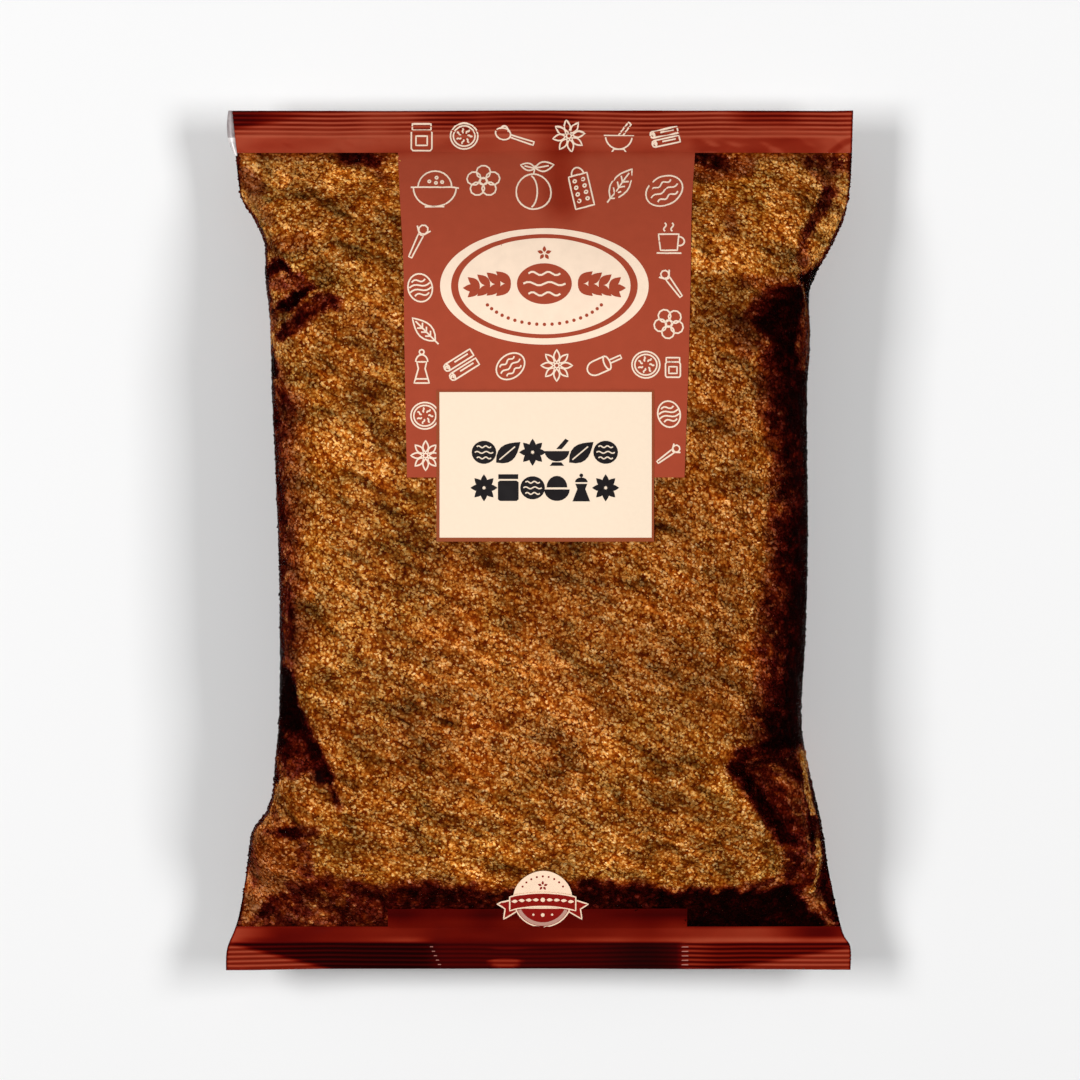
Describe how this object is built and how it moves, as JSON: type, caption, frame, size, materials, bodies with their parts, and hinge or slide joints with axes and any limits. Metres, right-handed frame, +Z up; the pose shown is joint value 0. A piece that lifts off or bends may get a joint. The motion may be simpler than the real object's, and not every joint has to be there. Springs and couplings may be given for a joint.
{
  "type": "ground nutmeg pillow pack",
  "caption": "Clear-film pillow pack full of ground nutmeg, lying on its back, with crimped end seals, a printed panel and bands, and a stuck-on name label",
  "frame": {"origin": "centre of the footprint, on the surface the pack lies on", "axes": "+X across the pack to the right as the front is read, +Y along the pack towards the top seal, +Z up out of the printed front"},
  "size_m": [0.1606, 0.22, 0.0459],
  "materials": {
    "pouch": "clear film over brown ground spice, with red printed bands and panel",
    "name_label": "smooth cream label with a thin red border"
  },
  "bodies": {
    "root": {"pouch": "pouch", "name_label": "name_label"}
  },
  "joints": []
}
